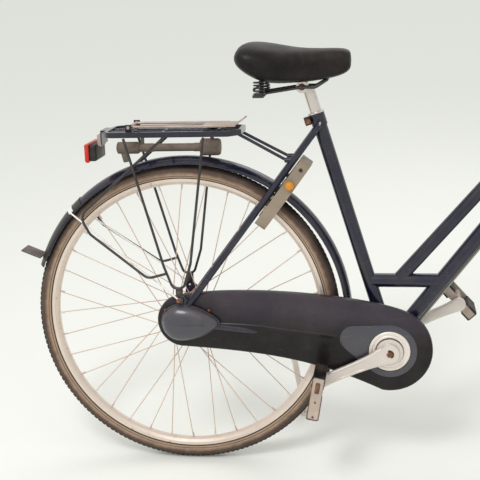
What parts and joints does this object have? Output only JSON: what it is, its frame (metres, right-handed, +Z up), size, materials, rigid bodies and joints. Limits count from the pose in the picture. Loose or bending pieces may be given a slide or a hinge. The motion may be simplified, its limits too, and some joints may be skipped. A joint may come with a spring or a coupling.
{
  "type": "step-through city bicycle",
  "caption": "Worn step-through city bicycle leaning on its side stand, with a closed chaincase, rear carrier with a sprung clip, full mudguards, padded saddle and swept-back bars.",
  "frame": {"origin": "floor under the middle of the bicycle's box as it stands parked on its side stand", "axes": "+X forward, +Y to the bicycle's left, the side it leans to, +Z up"},
  "size_m": [1.834, 0.5903, 1.0764],
  "materials": {
    "navy_paint": "worn gloss",
    "chrome": "tarnished, with rust spots",
    "steel": "dull, rusted",
    "alloy": "scuffed",
    "rim_metal": "dusty, with rust bloom",
    "spoke_wire": "rusty",
    "tyre_rubber": "dusty, perished",
    "black_vinyl": "satin, scuffed",
    "black_plastic": "satin, dusty",
    "case_plastic": "scratched and dirty",
    "grey_plastic": "dusty",
    "lock_plastic": "faded",
    "red_lens": "faded",
    "orange_plastic": "faded",
    "clear_lens": "clear",
    "cable_sheath": "dusty",
    "grip_rubber": "worn"
  },
  "bodies": {
    "frame": {"frame_tubes": "navy_paint", "rear_triangle": "navy_paint", "bottom_bracket": "steel", "headset": "chrome", "seat_post": "chrome", "seat_bolt": "steel", "saddle": "black_vinyl", "saddle_springs": "steel", "rear_mudguard": "navy_paint", "mudguard_tail": "black_plastic", "mudguard_flap": "grey_plastic", "rear_mudguard_stay": "chrome", "carrier": "navy_paint", "carrier_legs": "navy_paint", "tail_light": "black_plastic", "tail_light_lens": "red_lens", "pump": "grey_plastic", "ring_lock": "lock_plastic", "lock_key": "orange_plastic", "chaincase": "case_plastic", "chaincase_cap": "case_plastic", "chaincase_ring": "chrome", "rear_axle": "steel", "rear_brake": "alloy", "rear_brake_cable": "cable_sheath", "stand_bracket": "steel"},
    "rear_wheel": {"rear_tyre": "tyre_rubber", "rear_rim": "rim_metal", "rear_spokes": "spoke_wire", "rear_hub": "alloy"},
    "steering": {"fork": "navy_paint", "stem": "chrome", "handlebar": "chrome", "grips": "grip_rubber", "brake_levers": "alloy", "bell": "chrome", "headlamp": "chrome", "headlamp_lens": "clear_lens", "dynamo": "alloy", "front_mudguard": "navy_paint", "front_mudguard_stays": "chrome", "front_axle": "steel", "front_brake": "alloy", "front_brake_cable": "cable_sheath", "steering_cable_loop": "cable_sheath"},
    "front_wheel": {"front_tyre": "tyre_rubber", "front_rim": "rim_metal", "front_spokes": "spoke_wire", "front_hub": "alloy"},
    "crank": {"crank_axle": "steel", "crank_right": "chrome", "crank_left": "chrome"},
    "pedal_right": {"pedal_right": "grey_plastic"},
    "pedal_left": {"pedal_left": "grey_plastic"},
    "stand": {"stand_leg": "alloy"},
    "clip": {"carrier_clip": "chrome"}
  },
  "joints": [
    {"name": "rear_wheel_spin", "type": "hinge", "parent": "frame", "child": "rear_wheel", "pos_m": [-0.541, -0.08287, 0.34555], "axis": [0, 0.9925, -0.1219], "continuous": true},
    {"name": "steering_turn", "type": "hinge", "parent": "frame", "child": "steering", "pos_m": [0.32456, -0.02169, 0.84381], "axis": [-0.342, 0.1145, 0.9327], "range_deg": [-60, 60], "deforming": ["steering_cable_loop"]},
    {"name": "front_wheel_spin", "type": "hinge", "parent": "steering", "child": "front_wheel", "pos_m": [0.569, -0.08287, 0.34555], "axis": [0, 0.9925, -0.1219], "continuous": true},
    {"name": "crank_turn", "type": "hinge", "parent": "frame", "child": "crank", "pos_m": [-0.08432, -0.09055, 0.28302], "axis": [0, 0.9925, -0.1219], "continuous": true},
    {"name": "pedal_right_spin", "type": "hinge", "parent": "crank", "child": "pedal_right", "pos_m": [-0.23963, -0.22503, 0.22987], "axis": [0, 0.9925, -0.1219], "continuous": true},
    {"name": "pedal_left_spin", "type": "hinge", "parent": "crank", "child": "pedal_left", "pos_m": [0.07098, 0.04393, 0.33617], "axis": [0, 0.9925, -0.1219], "continuous": true},
    {"name": "stand_fold", "type": "hinge", "parent": "frame", "child": "stand", "pos_m": [-0.315, -0.04278, 0.27816], "axis": [0, 0.9646, 0.2638], "range_deg": [0, 88]},
    {"name": "clip_lift", "type": "hinge", "parent": "frame", "child": "clip", "pos_m": [-0.645, -0.02986, 0.77731], "axis": [0, -0.9925, 0.1219], "range_deg": [0, 70], "stiffness_Nm_per_rad": 1, "springref_deg": -34.38}
  ]
}
